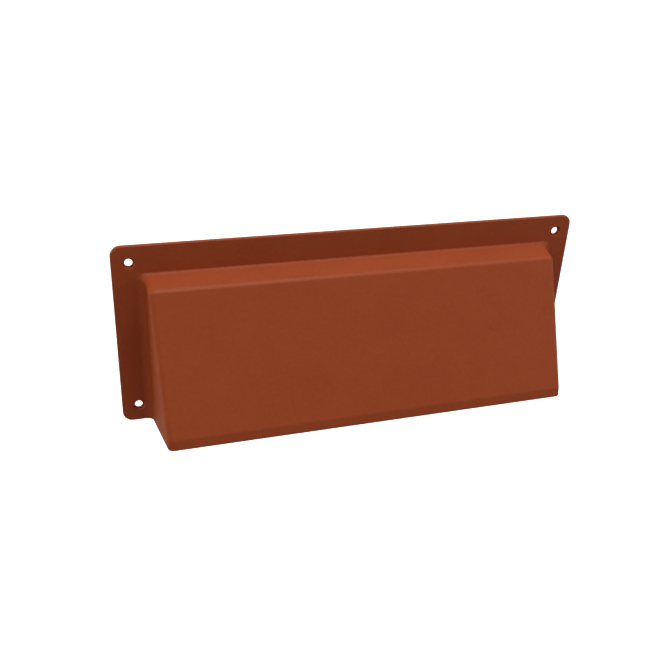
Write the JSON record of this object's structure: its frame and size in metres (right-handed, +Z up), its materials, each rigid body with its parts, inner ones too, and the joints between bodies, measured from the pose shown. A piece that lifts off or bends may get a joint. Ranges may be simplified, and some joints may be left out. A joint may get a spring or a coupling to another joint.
{
  "type": "wall vent cowl",
  "caption": "Moulded terracotta plastic wall vent cowl: sloped hood open at the bottom, screw flange, clip-in fly screen and inner draught baffle.",
  "frame": {"origin": "on the flange's back face, which lies on the wall, midway between the two upper screw holes", "axes": "+Y points into the wall, +X runs along the cowl to the right as seen from outside, +Z is up; the hood stands out along -Y"},
  "size_m": [0.265, 0.0498, 0.103],
  "materials": {
    "terracotta_plastic": "satin, finely spark-textured moulding",
    "charcoal_plastic": "satin moulding",
    "screen_plastic": "satin moulding",
    "baffle_plastic": "satin moulding"
  },
  "bodies": {
    "root": {"cowl_hood": "terracotta_plastic", "fly_screen_frame": "charcoal_plastic", "fly_screen_mesh": "screen_plastic", "draught_baffle": "baffle_plastic"}
  },
  "joints": []
}
